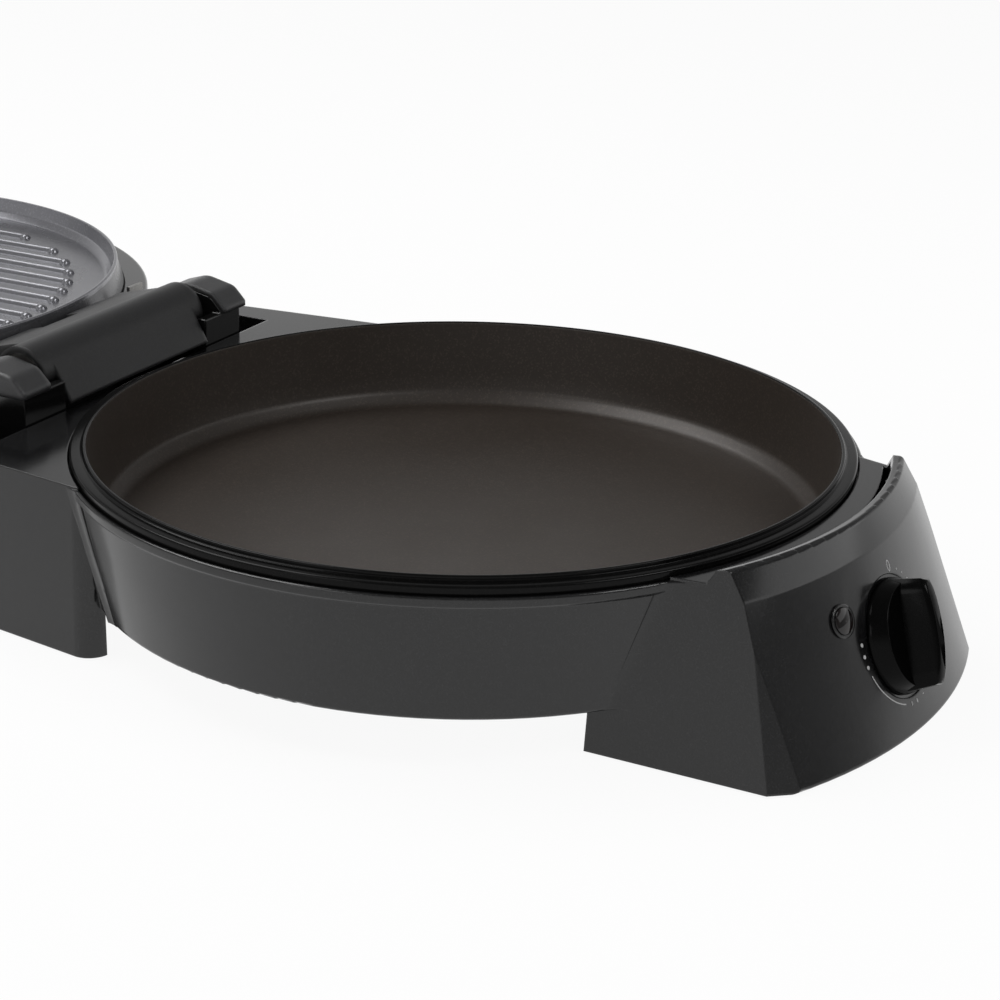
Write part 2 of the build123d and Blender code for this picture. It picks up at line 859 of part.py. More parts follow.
def lid_housing():
    """The domed cover with its flat flange and the ledge that carries the grill plate."""
    shell = dome(0, 0) - dome(flange_thickness, flange_thickness)
    shell = shell - post(0, lid_y, plate_opening, flange_z - 4, flange_z + 1)
    ledge = turned(
        [
            (plate_opening - 3.1, flange_z - 4.6),
            (plate_opening + 2.7, flange_z - 4.6),
            (plate_opening + 2.7, flange_z - 0.5),
            (plate_opening, flange_z - 0.5),
            (plate_opening, lid_ledge_z),
            (plate_opening - 3.1, lid_ledge_z),
        ],
        lid_y,
    )
    shell = shell + ledge
    for x, y in reflector_places(lid_y):
        pillar = post(x, y, 5.0, dome_bottom + 1.2, lid_reflector_z)
        shell = shell + pillar
        shell = shell - post(x, y, 1.5, lid_reflector_z - 14, lid_reflector_z + 1)
    arm_slot = block((arm_inner - 0.4, arm_outer + 0.4), (5, arm_end + 0.4), (arm_bottom - 0.4, arm_top + 0.05))
    for slot in both(arm_slot):
        shell = shell - slot
    for x in (-arm_screw_x, arm_screw_x):
        shell = shell - post(x, arm_screw_y, 1.5, arm_bottom - 1, lid_ledge_z - 0.9)
    for side in (-handle_screw_x, handle_screw_x):
        shell = shell - rod_y(side, handle_screw_z, 1.6, lid_y + lid_radius - 25, lid_y + lid_radius + 15)
    return shell


def rod_y(x, z, radius, y_from, y_to):
    """A round rod along Y."""
    return Pos(x, (y_from + y_to) / 2, z) * Rot(90, 0, 0) * Cylinder(radius, y_to - y_from)


handle_screw_x = 53.0
handle_screw_z = flange_z - 8.5
handle_half = 60.0
rib_pitch = 13.3
rib_reach = plate_radius - 21.1
rib_count = int((rib_reach - 5.0) / rib_pitch)
rib_height = 2.2


def grill_plate():
    """The shallow plate: upright lip, moat, and a field of ridges with beads at their ends."""
    under = plate_floor_z - plate_floor_thickness
    plate = turned(
        [
            (0, under),
            (plate_radius - 2.6, under, 3.0),
            (plate_radius + 0.8, lid_ledge_z + touch),
            (plate_outer, lid_ledge_z + touch),
            (plate_outer, flange_z + 1.4, 0.8),
            (plate_radius + 1.7, plate_lip_z - 2.2, 1.5),
            (plate_radius + 1.7, plate_lip_z, 0.6),
            (plate_radius, plate_lip_z, 0.6),
            (plate_radius - 1.3, plate_floor_z + 3.0, 2.0),
            (plate_radius - 4.2, plate_floor_z, 2.0),
            (0, plate_floor_z),
        ],
        lid_y,
    )
    ridges = []
    for index in range(-rib_count, rib_count + 1):
        x = index * rib_pitch
        half = math.sqrt(rib_reach * rib_reach - x * x)
        outline = [
            (x - 2.9, plate_floor_z - 0.5),
            (x + 2.9, plate_floor_z - 0.5),
            (x + 2.5, plate_floor_z + 0.6, 0.8),
            (x + 1.2, plate_floor_z + rib_height, 1.0),
            (x - 1.2, plate_floor_z + rib_height, 1.0),
            (x - 2.5, plate_floor_z + 0.6, 0.8),
        ]
        bar = extrude(Plane.XZ * section(outline), half, both=True)
        ridges.append(Pos(0, lid_y, 0) * bar)
        for end in (-half, half):
            bead = Pos(x, lid_y + end, plate_floor_z - 0.5) * Cone(3.6, 2.0, 2 * 2.4)
            ridges.append(bead - block((x - 5, x + 5), (lid_y + end - 5, lid_y + end + 5), (under - 10, under + 2)))
    return plate + ridges


def lid_reflector():
    plate = dish(lid_reflector_z, lid_reflector_z + 6.6, lid_y, plate_radius - 21.6, plate_radius - 13.6)
    tails = (lid_y - lid_radius, lid_y - element_ring_radius - 5)
    plate = plate - block((-16, 16), tails, (lid_reflector_z + 1.5, lid_reflector_z + 24))
    for x, y in reflector_places(lid_y):
        plate = plate - post(x, y, 1.6, lid_reflector_z - 6, lid_reflector_z + 4)
    return plate


def upper_terminal():
    top = upper_element_z - element_radius - touch
    front = lid_y - upper_tail_end + 2
    return block((-20, 20), (front, front + 16), (lid_reflector_z + sheet, top))


def lid_arm():
    """A steel arm: an eye on the hinge pin and a strap into the lid."""
    eye = rod_x(0, hinge_height, arm_radius, arm_inner, arm_outer)
    strap = across(
        [
            (-4, hinge_height - 3.0),
            (8, arm_bottom + 6.0),
            (12, arm_bottom),
            (arm_end, arm_bottom),
            (arm_end, arm_top),
            (14, arm_top),
            (9.2, flange_z - 0.4),
            (8, hinge_height + 1.0),
            (0, hinge_height + 3.0),
        ],
        arm_inner,
        arm_outer,
    )
    arm = eye + strap
    arm = arm - rod_x(0, hinge_height, pin_radius + running, 30, 70)
    return arm - post(arm_screw_x, arm_screw_y, 1.6, arm_bottom - 5, arm_top + 5)


def arm_screws():
    places = [(-arm_screw_x, arm_screw_y), (arm_screw_x, arm_screw_y)]
    return small_screws(places, arm_bottom - 1.8, arm_bottom, lid_ledge_z - 1.2)


def hinge_cover():
    """The long hood over the hinge: a C section with a straight skirt down at the front."""
    inner_r = cover_radius - cover_thickness
    turn = math.radians(150)
    radial = Vector(math.cos(turn), math.sin(turn))
    down = Vector(-0.5, -0.866)
    tip_travel = 19.0
    top = Vector(0, hinge_height)
    outer_tangent = top + radial * cover_radius
    inner_tangent = top + radial * inner_r
    outer_tip = outer_tangent + down * tip_travel
    inner_tip = inner_tangent + down * tip_travel
    back_low = flange_z + touch
    rear_end = lid_y - plate_outer + 0.3
    rear_top = hinge_height + 5.4
    shoulder = (cover_radius * 0.5, hinge_height + cover_radius * 0.866)
    edges = [
        ThreePointArc(shoulder, (0, hinge_height + cover_radius), outer_tangent),
        Line(outer_tangent, outer_tip),
        Line(outer_tip, inner_tip),
        Line(inner_tip, inner_tangent),
        ThreePointArc(inner_tangent, (0, hinge_height + inner_r), (inner_r, hinge_height)),
        Line((inner_r, hinge_height), (inner_r, back_low)),
        Line((inner_r, back_low), (rear_end, back_low)),
        Line((rear_end, back_low), (rear_end, rear_top)),
        Line((rear_end, rear_top), shoulder),
    ]
    profile = Plane.YZ.offset(-cover_half) * make_face(Wire(edges))
    shell = extrude(profile, 2 * cover_half, dir=(1, 0, 0))
    for low, high in ((-cover_half - 10, -skirt_half), (skirt_half, cover_half + 10)):
        corner = block((low, high), (-30, 40), (hinge_height - 30, hinge_height + 30))
        keep = rod_x(0, hinge_height, cover_radius, low, high)
        shell = shell - (corner - keep)
    shell = shell - post(0, lid_y, plate_opening, hinge_height - 13, hinge_height + 37)
    shell = shell - block((-16.0, 8.0), (rear_end - 6.9, rear_end + 10), (flange_z - 3, hinge_height + 17))
    return shell


# Each clip's X and how far inside the lid's edge it stands
clip_places = ((0.0, 5.9), (-70.0, 2.97), (70.0, 2.97))


def plate_clips():
    """Three bent metal tabs that hold the grill plate on the hinge side."""
    clips = []
    for x, depth in clip_places:
        y = lid_y - math.sqrt(lid_radius**2 - x * x) + depth
        foot = block((x - 5, x + 5), (y, y + 5), (flange_z + 0.05, flange_z + 1.1))
        ear = block((x - 5, x + 5), (y, y + 1.6), (flange_z + 0.05, flange_z + 7.0))
        clip = foot + ear - post(0, lid_y, plate_outer + 0.1, flange_z - 5, flange_z + 20)
        clips.append(clip)
    return clips


def lid_handle():
    """The arched handle at the lid's far side; its bar stands on the table with the lid open."""
    reach = -control_knob().bounding_box().min.Y
    side = [
        (lid_y + lid_radius - 24.6, flange_z - 4.0),
        (lid_y + lid_radius + 7.4, flange_z - 4.0, 10.0),
        (reach, 26.0, 16.0),
        (reach, 0.0, 5.0),
        (reach - 24.0, 0.0, 5.0),
        (reach - 24.0, 17.0, 6.0),
        (lid_y + lid_radius - 14.6, dome_bottom + 15.0, 14.0),
        (lid_y + lid_radius - 44.6, dome_bottom + 13.0),
    ]
    inside = handle_half - 15.0
    handle = across(side, -handle_half, handle_half)
    handle = handle - block((-inside, inside), (0, reach + 5), (17.0, 120))
    handle = handle - dome_grown()
    for x in (-handle_screw_x, handle_screw_x):
        handle = handle - rod_y(x, handle_screw_z, 1.5, lid_y + lid_radius - 35, lid_y + lid_radius + 7.4)
    return handle


def dome_grown():
    """The lid's outside, a hair larger, to cut what sits on it."""
    return turned(
        [
            (0, dome_bottom - touch),
            (lid_radius - 52.6, dome_bottom + 2.6 - touch, 90),
            (lid_radius - 8.6 + touch, dome_bottom + 23.0 - touch, 40),
            (lid_radius + touch, flange_z - 7.0, 12),
            (lid_radius + touch, flange_z + 3),
            (0, flange_z + 3),
        ],
        lid_y,
    )


def handle_screws():
    screws = []
    for x in (-handle_screw_x, handle_screw_x):
        inner_y = lid_y + math.sqrt((lid_radius - flange_thickness) ** 2 - x * x) - 4.2
        head = rod_y(x, handle_screw_z, 3.0, inner_y, inner_y + 1.8)
        screws.append(head + rod_y(x, handle_screw_z, 1.5, inner_y + 1.6, lid_y + lid_radius + 6.9))
    return screws


# Write every node

nodes = {
    "base_housing": base_housing(),
    "base_cover": base_cover(),
    "base_screws": base_screws(),
    "base_feet": base_feet(),
    "cooking_pan": cooking_pan(),
    "base_reflector": base_reflector(),
    "base_reflector_screws": small_screws(
        reflector_places(pan_y), base_reflector_z + sheet, base_reflector_z + sheet + 1.4, tub_bottom + 1
    ),
    "lower_element": element(element_z, pan_y, 1, terminal_back - 4.0 - pan_y),
    "lower_saddles": saddles(pan_y, base_reflector_z + sheet, element_z),
    "lower_terminal_block": lower_terminal(),
    "thermostat_body": thermostat_body(),
    "thermostat_bracket": thermostat_bracket(),
    "thermostat_screws": bracket_screws(),
    "thermostat_sensor": thermostat_sensor(),
    "control_knob": control_knob(),
    "knob_shaft": knob_shaft(),
    "lamp_holder": lamp_holder(),
    "lamp_lens": lamp_lens(),
    "lamp_bulb": lamp_bulb(),
    "inlet_gland": inlet_gland(),
    "hinge_post_right": hinge_post(),
    "hinge_post_left": mirrored(hinge_post()),
    "hinge_cap_right": hinge_cap(),
    "hinge_cap_left": mirrored(hinge_cap()),
    "hinge_pin_right": hinge_pin(),
    "hinge_pin_left": mirrored(hinge_pin()),
    "hinge_bar": hinge_bar(),
    "hinge_bar_screws": bar_screws(),
    "lid_housing": lid_housing(),
    "grill_plate": grill_plate(),
    "lid_reflector": lid_reflector(),
    "lid_reflector_screws": small_screws(
        reflector_places(lid_y), lid_reflector_z + sheet, lid_reflector_z + sheet + 1.4, lid_reflector_z - 12
    ),
    "upper_element": element(upper_element_z, lid_y, -1, upper_tail_end),
    "upper_saddles": saddles(lid_y, lid_reflector_z + sheet, upper_element_z),
    "upper_terminal_block": upper_terminal(),
    "lid_arm_right": lid_arm(),
    "lid_arm_left": mirrored(lid_arm()),
    "lid_arm_screws": arm_screws(),
    "hinge_cover": hinge_cover(),
    "plate_clips": plate_clips(),
    "lid_handle": lid_handle(),
    "lid_handle_screws": handle_screws(),
}
for node, shape in nodes.items():
    save(shape, node)
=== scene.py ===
import bmesh
import bpy
import json
import math
from mathutils import Euler, Matrix, Vector


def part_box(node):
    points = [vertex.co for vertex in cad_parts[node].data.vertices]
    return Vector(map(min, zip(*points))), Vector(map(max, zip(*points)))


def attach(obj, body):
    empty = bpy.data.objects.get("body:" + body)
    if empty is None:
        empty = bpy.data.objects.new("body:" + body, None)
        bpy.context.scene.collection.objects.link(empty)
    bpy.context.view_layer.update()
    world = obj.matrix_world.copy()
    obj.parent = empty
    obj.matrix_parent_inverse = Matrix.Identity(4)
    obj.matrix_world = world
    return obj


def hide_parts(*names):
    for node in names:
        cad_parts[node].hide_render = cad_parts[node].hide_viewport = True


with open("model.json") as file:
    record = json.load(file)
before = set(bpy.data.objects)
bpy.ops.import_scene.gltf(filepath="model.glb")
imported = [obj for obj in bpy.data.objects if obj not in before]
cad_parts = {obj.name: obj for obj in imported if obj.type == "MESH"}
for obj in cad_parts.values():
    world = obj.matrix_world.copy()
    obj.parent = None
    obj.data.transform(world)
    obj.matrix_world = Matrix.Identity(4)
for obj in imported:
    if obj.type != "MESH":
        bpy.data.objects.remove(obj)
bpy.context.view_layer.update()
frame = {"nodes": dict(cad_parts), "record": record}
print("frame loaded:", len(frame["nodes"]), "nodes")

mm = 0.001  # shapes are written in millimetres


# Places read from the frame

def boxOf(node):
    low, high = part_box(node)
    return Vector(low), Vector(high)


def middleOf(node):
    low, high = boxOf(node)
    return (low + high) / 2


panLow, panHigh = boxOf("cooking_pan")
panAxisY = middleOf("cooking_pan").y
plateLow, plateHigh = boxOf("grill_plate")
plateAxisY = middleOf("grill_plate").y
joints = {joint["name"]: joint for joint in frame["record"]["behaviour"]["joints"]}
knobCentre = Vector(joints["dial_turn"]["pos_m"])
knobOut = -Vector(joints["dial_turn"]["axis"]).normalized()


# Material tools

patterns = {
    "fleckFrom": 0.72,  # share of the grains that stay dark
    "fineDetail": 2.0,
    "fineRoughness": 0.6,
    "driftDetail": 4.0,
    "driftRoughness": 0.55,
    "driftSpan": (0.3, 0.7),  # drift at the lowest and at the highest roughness
    "bumpDistance": 0.0002,
    "edgeSamples": 8,
}


def addNode(tree, kind, sockets=None, **settings):
    # sockets are input values by label, and settings are properties of the node
    node = tree.nodes.new(kind)
    for name, value in settings.items():
        setattr(node, name, value)
    for label, value in (sockets or {}).items():
        node.inputs[label].default_value = value
    return node


def newGroup(name, inputs, outputs):
    group = bpy.data.node_groups.new(name, "ShaderNodeTree")
    for label, kind, value in inputs:
        item = group.interface.new_socket(label, in_out="INPUT", socket_type=kind)
        item.default_value = value
    for label, kind in outputs:
        group.interface.new_socket(label, in_out="OUTPUT", socket_type=kind)
    return group, addNode(group, "NodeGroupInput"), addNode(group, "NodeGroupOutput")


def buildFleckGroup():
    # small bright grains in a dark colour
    group, start, end = newGroup(
        "fleck",
        [
            ("Dark", "NodeSocketColor", (0.03, 0.03, 0.03, 1)),
            ("Light", "NodeSocketColor", (0.1, 0.1, 0.1, 1)),
            ("Size", "NodeSocketFloat", 900.0),
            ("Amount", "NodeSocketFloat", 0.5),
        ],
        [("Color", "NodeSocketColor")],
    )
    place = addNode(group, "ShaderNodeTexCoord")
    grain = addNode(group, "ShaderNodeTexVoronoi")
    split = addNode(group, "ShaderNodeSeparateColor")
    span = {"From Min": patterns["fleckFrom"], "From Max": 1.0}
    pick = addNode(group, "ShaderNodeMapRange", span, clamp=True)
    amount = addNode(group, "ShaderNodeMath", operation="MULTIPLY")
    mix = addNode(group, "ShaderNodeMix", data_type="RGBA")
    links = group.links
    links.new(place.outputs["Object"], grain.inputs["Vector"])
    links.new(start.outputs["Size"], grain.inputs["Scale"])
    links.new(grain.outputs["Color"], split.inputs["Color"])
    links.new(split.outputs["Red"], pick.inputs["Value"])
    links.new(pick.outputs["Result"], amount.inputs[0])
    links.new(start.outputs["Amount"], amount.inputs[1])
    links.new(amount.outputs[0], mix.inputs["Factor"])
    links.new(start.outputs["Dark"], mix.inputs["A"])
    links.new(start.outputs["Light"], mix.inputs["B"])
    links.new(mix.outputs["Result"], end.inputs["Color"])
    return group


def buildGrainGroup():
    # fine height and a slow roughness drift
    group, start, end = newGroup(
        "grain",
        [
            ("Fine Scale", "NodeSocketFloat", 1500.0),
            ("Drift Scale", "NodeSocketFloat", 25.0),
            ("Roughness Low", "NodeSocketFloat", 0.3),
            ("Roughness High", "NodeSocketFloat", 0.4),
        ],
        [("Height", "NodeSocketFloat"), ("Roughness", "NodeSocketFloat")],
    )
    place = addNode(group, "ShaderNodeTexCoord")
    links = group.links
    noises = {}
    for name in ("fine", "drift"):
        values = {"Detail": patterns[name + "Detail"], "Roughness": patterns[name + "Roughness"]}
        noises[name] = addNode(group, "ShaderNodeTexNoise", values)
        links.new(place.outputs["Object"], noises[name].inputs["Vector"])
        links.new(start.outputs[name.capitalize() + " Scale"], noises[name].inputs["Scale"])
    low, high = patterns["driftSpan"]
    spread = addNode(group, "ShaderNodeMapRange", {"From Min": low, "From Max": high}, clamp=True)
    links.new(noises["drift"].outputs["Fac"], spread.inputs["Value"])
    links.new(start.outputs["Roughness Low"], spread.inputs["To Min"])
    links.new(start.outputs["Roughness High"], spread.inputs["To Max"])
    links.new(noises["fine"].outputs["Fac"], end.inputs["Height"])
    links.new(spread.outputs["Result"], end.inputs["Roughness"])
    return group


fleckGroup = buildFleckGroup()
grainGroup = buildGrainGroup()


def newMaterial(name, look):
    # drift, grain and fleckSize are pattern scales, edge is the radius of edges rounded by shading
    material = bpy.data.materials.new(name)
    material.use_nodes = True
    tree = material.node_tree
    shader = tree.nodes["Principled BSDF"]
    fleck = addNode(tree, "ShaderNodeGroup", {
        "Dark": (*look["dark"], 1),
        "Light": (*look["light"], 1),
        "Size": look["fleckSize"],
        "Amount": look["fleckAmount"],
    }, node_tree=fleckGroup)
    grain = addNode(tree, "ShaderNodeGroup", {
        "Fine Scale": look["grain"],
        "Drift Scale": look["drift"],
        "Roughness Low": look["roughness"][0],
        "Roughness High": look["roughness"][1],
    }, node_tree=grainGroup)
    height = {"Strength": look["bump"], "Distance": patterns["bumpDistance"]}
    bump = addNode(tree, "ShaderNodeBump", height)
    links = tree.links
    links.new(fleck.outputs["Color"], shader.inputs["Base Color"])
    links.new(grain.outputs["Roughness"], shader.inputs["Roughness"])
    links.new(grain.outputs["Height"], bump.inputs["Height"])
    if "edge" in look:
        radius = {"Radius": look["edge"]}
        edge = addNode(tree, "ShaderNodeBevel", radius, samples=patterns["edgeSamples"])
        links.new(edge.outputs["Normal"], bump.inputs["Normal"])
    links.new(bump.outputs["Normal"], shader.inputs["Normal"])
    for socket, value in look.get("sockets", {}).items():
        shader.inputs[socket].default_value = value
    return material


looks = {
    "housing": dict(
        dark=(0.004, 0.004, 0.0042), light=(0.03, 0.03, 0.032), fleckSize=3600, fleckAmount=0.5,
        roughness=(0.12, 0.17), grain=2600, drift=14, bump=0.02, edge=0.001),
    "tray": dict(
        dark=(0.015, 0.015, 0.015), light=(0.03, 0.03, 0.03), fleckSize=1200, fleckAmount=0.4,
        roughness=(0.45, 0.6), grain=1800, drift=20, bump=0.25),
    "rubber": dict(
        dark=(0.012, 0.012, 0.012), light=(0.03, 0.03, 0.03), fleckSize=1500, fleckAmount=0.3,
        roughness=(0.7, 0.85), grain=2200, drift=30, bump=0.4),
    "steel": dict(
        dark=(0.3, 0.295, 0.285), light=(0.44, 0.435, 0.42), fleckSize=1500, fleckAmount=0.4,
        roughness=(0.28, 0.4), grain=1600, drift=60, bump=0.1, sockets={"Metallic": 1.0}),
    # partly painted reflection: the real dark brown coating is raised lighter and warmer, standing
    # in for warm light mirrored into the pan
    "nonstick": dict(
        dark=(0.03, 0.023, 0.018), light=(0.09, 0.07, 0.055), fleckSize=1500, fleckAmount=0.3,
        roughness=(0.36, 0.46), grain=1500, drift=12, bump=0.15, sockets={"Metallic": 0.2}),
    # painted shade: the pan's rim and flange get this darker copy of its coating, standing in for
    # the dark lip wall that they mirror
    "panRimShade": dict(
        dark=(0.003, 0.003, 0.003), light=(0.012, 0.011, 0.01), fleckSize=1800, fleckAmount=0.3,
        roughness=(0.12, 0.2), grain=1800, drift=20, bump=0.04,
        sockets={"Specular IOR Level": 0.1}),
    "plate": dict(
        dark=(0.2, 0.2, 0.215), light=(0.34, 0.34, 0.36), fleckSize=1500, fleckAmount=0.4,
        roughness=(0.24, 0.32), grain=1500, drift=14, bump=0.1, sockets={"Metallic": 0.7}),
    # painted shade: a darker copy of the plate's finish for its outer slope and rim, standing in
    # for the shade there
    "plateRimShade": dict(
        dark=(0.07, 0.07, 0.075), light=(0.13, 0.13, 0.14), fleckSize=1500, fleckAmount=0.4,
        roughness=(0.24, 0.32), grain=1500, drift=14, bump=0.1, sockets={"Metallic": 0.5}),
    "reflector": dict(
        dark=(0.62, 0.62, 0.63), light=(0.8, 0.8, 0.81), fleckSize=700, fleckAmount=0.4,
        roughness=(0.2, 0.32), grain=600, drift=30, bump=0.08, sockets={"Metallic": 1.0}),
    "element": dict(
        dark=(0.1, 0.085, 0.075), light=(0.22, 0.2, 0.18), fleckSize=900, fleckAmount=0.6,
        roughness=(0.45, 0.6), grain=900, drift=60, bump=0.25, sockets={"Metallic": 0.8}),
    "ceramic": dict(
        dark=(0.62, 0.59, 0.52), light=(0.75, 0.73, 0.68), fleckSize=900, fleckAmount=0.4,
        roughness=(0.55, 0.7), grain=1200, drift=50, bump=0.2),
    "bakelite": dict(
        dark=(0.03, 0.022, 0.018), light=(0.06, 0.045, 0.035), fleckSize=900, fleckAmount=0.5,
        roughness=(0.35, 0.5), grain=900, drift=40, bump=0.15),
    "copper": dict(
        dark=(0.5, 0.24, 0.13), light=(0.62, 0.34, 0.2), fleckSize=600, fleckAmount=0.5,
        roughness=(0.25, 0.4), grain=900, drift=60, bump=0.1, sockets={"Metallic": 1.0}),
    "black_gloss": dict(
        dark=(0.004, 0.004, 0.004), light=(0.01, 0.01, 0.01), fleckSize=1500, fleckAmount=0.3,
        roughness=(0.1, 0.16), grain=2400, drift=25, bump=0.02, edge=0.0012,
        sockets={"Specular IOR Level": 0.5}),
    "knobBlack": dict(
        dark=(0.0015, 0.0015, 0.0015), light=(0.004, 0.004, 0.004), fleckSize=1500,
        fleckAmount=0.3, roughness=(0.14, 0.22), grain=2400, drift=25, bump=0.02,
        sockets={"Specular IOR Level": 0.07}),
    "matt_grey": dict(
        dark=(0.009, 0.009, 0.0094), light=(0.024, 0.024, 0.025), fleckSize=2600,
        fleckAmount=0.5, roughness=(0.4, 0.48), grain=2600, drift=20, bump=0.3, edge=0.003,
        sockets={"Specular IOR Level": 0.36}),
    # painted light: a lighter copy of matt_grey for the hinge caps, standing in for the light that
    # falls on their tops
    "capLitGrey": dict(
        dark=(0.022, 0.022, 0.023), light=(0.05, 0.05, 0.052), fleckSize=2600, fleckAmount=0.5,
        roughness=(0.34, 0.42), grain=2600, drift=20, bump=0.3, edge=0.003,
        sockets={"Specular IOR Level": 0.5}),
    "lens": dict(
        dark=(0.006, 0.005, 0.005), light=(0.016, 0.009, 0.008), fleckSize=500, fleckAmount=0.3,
        roughness=(0.05, 0.09), grain=900, drift=60, bump=0.02, edge=0.0004,
        sockets={"Specular IOR Level": 0.4}),
    "print": dict(
        dark=(0.42, 0.42, 0.42), light=(0.62, 0.62, 0.62), fleckSize=1500, fleckAmount=0.5,
        roughness=(0.5, 0.6), grain=1500, drift=60, bump=0.1),
    "glass": dict(
        dark=(0.7, 0.6, 0.5), light=(0.8, 0.7, 0.6), fleckSize=400, fleckAmount=0.3,
        roughness=(0.03, 0.06), grain=400, drift=60, bump=0.02,
        sockets={"Transmission Weight": 0.9}),
}
materials = {name: newMaterial(name, look) for name, look in looks.items()}
print("materials:", len(materials))


# Nodes of the frame

def dressNodes():
    slots = {part["node"]: part["material_slot"] for part in frame["record"]["subparts"]}
    for node, piece in frame["nodes"].items():
        # painted light: the caps over the hinge get a lighter copy of the cover's grey, standing
        # in for the light from above
        finish = "capLitGrey" if node.startswith("hinge_cap") else slots[node]
        piece.data.materials.clear()
        piece.data.materials.append(materials[finish])


housingShading = {
    "node": "base_housing",
    "crispFrom": 32,  # degrees between faces
    "weight": 50,
}


def evenShading():
    # even shading over the narrow rounded edges of the moulding
    piece = frame["nodes"][housingShading["node"]]
    split = piece.modifiers.new("sharpEdges", "EDGE_SPLIT")
    split.split_angle = math.radians(housingShading["crispFrom"])
    even = piece.modifiers.new("evenShading", "WEIGHTED_NORMAL")
    even.mode = "FACE_AREA"
    even.weight = housingShading["weight"]
    even.keep_sharp = False


dressNodes()
evenShading()
print("nodes dressed:", len(frame["nodes"]))


# Mesh tools

cornerSteps = 5


def softLine(points):
    # an open outline, with each corner rounded by its third value
    line = []
    for index, (out, up, radius) in enumerate(points):
        here = Vector((out, up))
        if not radius:
            line.append(here)
            continue
        back = (Vector(points[index - 1][:2]) - here).normalized()
        forth = (Vector(points[index + 1][:2]) - here).normalized()
        half = back.angle(forth) / 2
        centre = here + (back + forth).normalized() * (radius / math.sin(half))
        start = here + back * (radius / math.tan(half)) - centre
        end = here + forth * (radius / math.tan(half)) - centre
        turn = math.atan2(start.cross(end), start.dot(end))
        base = math.atan2(start.y, start.x)
        for step in range(cornerSteps + 1):
            angle = base + turn * step / cornerSteps
            line.append(centre + Vector((math.cos(angle), math.sin(angle))) * radius)
    return line


def sectionLine(rows, radii, heights):
    # rows: radius measured from, further out, height measured from, further up, rounding
    points = [
        (radii[near] + out, heights[level] + up, rounding)
        for near, out, level, up, rounding in rows
    ]
    return [(out * mm, up * mm) for out, up in softLine(points)]


def spin(bm, outline, centreY, turns):
    # turns a (radius, height) line about an upright axis
    rings = []
    for radius, height in outline:
        if not radius:
            rings.append([bm.verts.new((0, centreY, height))])
            continue
        ring = []
        for step in range(turns):
            angle = 2 * math.pi * step / turns
            place = (radius * math.sin(angle), centreY - radius * math.cos(angle), height)
            ring.append(bm.verts.new(place))
        rings.append(ring)
    for lower, upper in zip(rings, rings[1:]):
        for step in range(turns):
            following = (step + 1) % turns
            around = ((lower, step), (lower, following), (upper, following), (upper, step))
            corners = []
            for ring, place in around:
                corner = ring[place % len(ring)]
                if corner not in corners:
                    corners.append(corner)
            if len(corners) > 2:
                bm.faces.new(corners)


def stack(bm, rings):
    # joins rings of equal length with walls, and closes the last one
    made = [[bm.verts.new(point) for point in ring] for ring in rings]
    count = len(made[0])
    for lower, upper in zip(made, made[1:]):
        for step in range(count):
            following = (step + 1) % count
            bm.faces.new((lower[step], lower[following], upper[following], upper[step]))
    bm.faces.new(made[-1])


def markOutside(bm, axisY, radius, low=0.0):
    # faces beyond the radius and above low get the piece's second finish, a darker copy painted as
    # shade
    for face in bm.faces:
        centre = face.calc_center_median()
        if math.hypot(centre.x, centre.y - axisY) > radius and centre.z > low:
            face.material_index = 1


def addPiece(name, bm, body, finishes, replaced=(), crease=38):
    bmesh.ops.recalc_face_normals(bm, faces=bm.faces)
    mesh = bpy.data.meshes.new(name)
    bm.to_mesh(mesh)
    bm.free()
    mesh.shade_smooth()
    mesh.set_sharp_from_angle(angle=math.radians(crease))
    for finish in finishes:
        mesh.materials.append(materials[finish])
    piece = bpy.data.objects.new(name, mesh)
    bpy.context.scene.collection.objects.link(piece)
    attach(piece, body)
    if replaced:
        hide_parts(*replaced)
    return piece


# Cooking pan

panShape = {
    "lip": 150.0,  # inner radius at the mouth
    "lipWidth": 1.6,
    "floor": 38.0,
    "floorWidth": 3.0,
    "rimShadeDepth": 9.0,  # the rim's painted shade reaches this far down
    "turns": 320,
    # from the middle of the floor over the lip and the flange, and back underneath
    "section": [
        ("axis", 0, "floor", 0, 0),
        ("lip", -8.5, "floor", 0, 6.0),
        ("lip", -3.6, "floor", 5.0, 5.0),
        ("lip", -2.0, "floor", 13.0, 0),
        ("lip", -0.1, "top", -1.0, 0.6),
        ("lip", 0.1, "top", 0, 0.45),
        ("outer", 0, "top", 0, 0.6),
        ("outer", 0, "top", -1.7, 0.5),
        ("outer", 0.9, "top", -2.0, 0.5),
        ("rim", 0, "top", -2.0, 1.0),
        ("rim", 0, "top", -7.4, 0.5),
        ("rim", -1.7, "top", -7.4, 0.4),
        ("rim", -1.7, "top", -4.2, 0.6),
        ("outer", 0, "top", -4.2, 0.5),
        ("lip", -1.8, "floor", 4.0, 3.0),
        ("lip", -6.8, "under", 0, 5.0),
        ("axis", 0, "under", 0, 0),
    ],
}


def makePan():
    lip, floor, top = panShape["lip"], panShape["floor"], panHigh.z / mm
    radii = {
        "axis": 0,
        "lip": lip,
        "outer": lip + panShape["lipWidth"],
        "rim": (panHigh.x - panLow.x) / 2 / mm,
    }
    heights = {"floor": floor, "under": floor - panShape["floorWidth"], "top": top}
    bm = bmesh.new()
    spin(bm, sectionLine(panShape["section"], radii, heights), panAxisY, panShape["turns"])
    # painted shade: the rim and flange above this depth get the darker copy of the coating
    markOutside(bm, panAxisY, lip * mm, (top - panShape["rimShadeDepth"]) * mm)
    return addPiece("cookingPan", bm, "base", ["nonstick", "panRimShade"], ["cooking_pan"])


makePan()
print("cooking pan made")


# Grill plate

